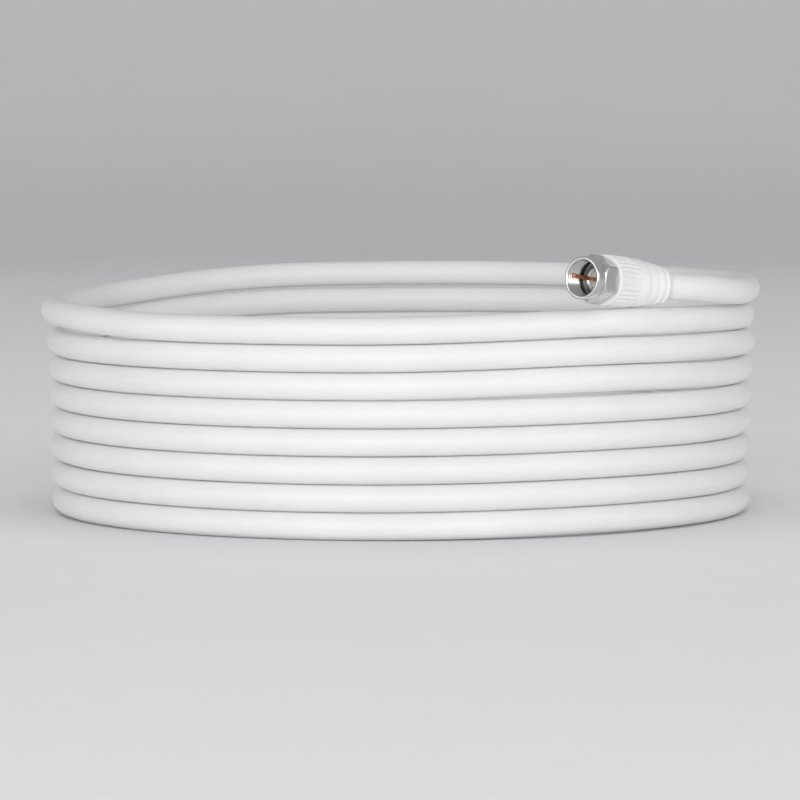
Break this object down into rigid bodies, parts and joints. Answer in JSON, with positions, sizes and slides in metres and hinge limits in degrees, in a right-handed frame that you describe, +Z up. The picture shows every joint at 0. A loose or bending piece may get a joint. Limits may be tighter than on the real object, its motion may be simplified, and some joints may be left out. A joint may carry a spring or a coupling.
{
  "type": "coaxial cable coil",
  "caption": "White coaxial lead wound in one upright layer of turns, with a screw-on F-type connector with moulded boot on each end.",
  "frame": {"origin": "centre of the coil on the surface that it lies on", "axes": "+Z up along the coil's axis; -Y is the front, where the top connector lies to the right"},
  "size_m": [0.196, 0.196, 0.072],
  "materials": {
    "jacket": "smooth white PVC, satin",
    "moulding": "moulded white PVC",
    "nickel": "nickel plate on turned brass",
    "dielectric": "foamed polyethylene, cut square",
    "copper": "bare drawn copper"
  },
  "bodies": {
    "cable": {"cable_coil": "jacket", "cable_top_lead": "jacket", "cable_bottom_tail": "jacket", "connector_body_top": "nickel", "dielectric_top": "dielectric", "centre_conductor_top": "copper", "boot_top": "moulding", "connector_body_bottom": "nickel", "dielectric_bottom": "dielectric", "centre_conductor_bottom": "copper", "boot_bottom": "moulding"},
    "nut_top": {"coupling_nut_top": "nickel"},
    "nut_bottom": {"coupling_nut_bottom": "nickel"}
  },
  "joints": [
    {"name": "nut_top_spin", "type": "hinge", "parent": "cable", "child": "nut_top", "pos_m": [0.0457, -0.08638, 0.06598], "axis": [-0.64, -0.7628, 0.0924], "continuous": true},
    {"name": "nut_bottom_spin", "type": "hinge", "parent": "cable", "child": "nut_bottom", "pos_m": [-0.08327, 0.08744, 0.00665], "axis": [-0.9962, -0.0872, 0], "continuous": true}
  ]
}
